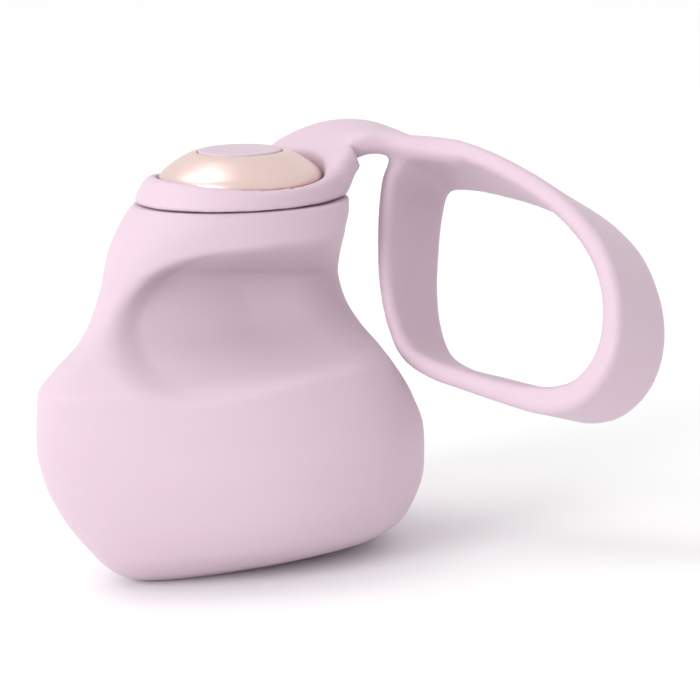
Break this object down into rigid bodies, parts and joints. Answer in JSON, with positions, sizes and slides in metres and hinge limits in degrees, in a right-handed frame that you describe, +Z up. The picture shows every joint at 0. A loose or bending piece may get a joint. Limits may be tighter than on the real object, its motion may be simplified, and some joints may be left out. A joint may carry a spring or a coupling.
{
  "type": "finger massager",
  "caption": "Finger-held vibrating massager: waisted silicone body with finger scoops, dome bezel with push button, and a lift-off silicone tether with a finger loop.",
  "frame": {"origin": "flat base, under the centre of the push button", "axes": "+Z up through the body, -Y toward the pointed nose, +X toward the side on which the finger loop leans"},
  "size_m": [0.0504, 0.0547, 0.0413],
  "materials": {
    "silicone": "soft matte lilac silicone",
    "rose_gold": "satin rose-gold electroplate",
    "button": "matte lilac",
    "core": "moulded white",
    "board": "solder mask",
    "chip": "moulded black",
    "steel": "plain",
    "weight": "sintered",
    "cell": "foil pouch",
    "foam": "closed foam pad",
    "led": "clear lens",
    "red_wire": "insulation",
    "black_wire": "insulation"
  },
  "bodies": {
    "core": {"silicone_body": "silicone", "core_base": "core", "core_top": "core", "core_gasket": "silicone", "core_screws": "steel", "motor_can": "steel", "motor_end_cap": "core", "motor_clamp": "core", "battery_cell": "cell", "battery_foam": "foam", "charge_jack": "chip", "charge_contact": "steel", "main_board": "board", "control_chip": "chip", "charger_chip": "chip", "board_passives": "chip", "board_coil": "chip", "switch_board": "board", "board_header": "chip", "switch_case": "steel", "status_leds": "led", "bezel_seat": "core", "bezel_ring": "rose_gold", "button_gasket": "silicone", "motor_lead_red": "red_wire", "motor_lead_black": "black_wire", "battery_lead_red": "red_wire", "battery_lead_black": "black_wire", "jack_lead_red": "red_wire", "jack_lead_black": "black_wire"},
    "button": {"button_cap": "button", "button_pusher": "core", "switch_plunger": "chip"},
    "rotor": {"motor_shaft": "steel", "eccentric_weight": "weight"},
    "tether": {"tether_collar": "silicone"},
    "loop": {"finger_loop": "silicone"}
  },
  "joints": [
    {"name": "button_press", "type": "slide", "parent": "core", "child": "button", "axis": [0, -0.0837, -0.9965], "range_m": [0, 0.00035], "stiffness_N_per_m": 4500},
    {"name": "motor_spin", "type": "hinge", "parent": "core", "child": "rotor", "pos_m": [0, 0, 0.0085], "axis": [0, 1, 0], "continuous": true},
    {"name": "tether_lift", "type": "slide", "parent": "core", "child": "tether", "axis": [0, 0.0837, 0.9965], "range_m": [0, 0.016]},
    {"name": "loop_flex", "type": "hinge", "parent": "tether", "child": "loop", "pos_m": [0.00272, 0.01788, 0.03872], "axis": [0.3918, -0.8403, 0.3746], "range_deg": [0, 45], "stiffness_Nm_per_rad": 0.006, "springref_deg": 2.18}
  ]
}
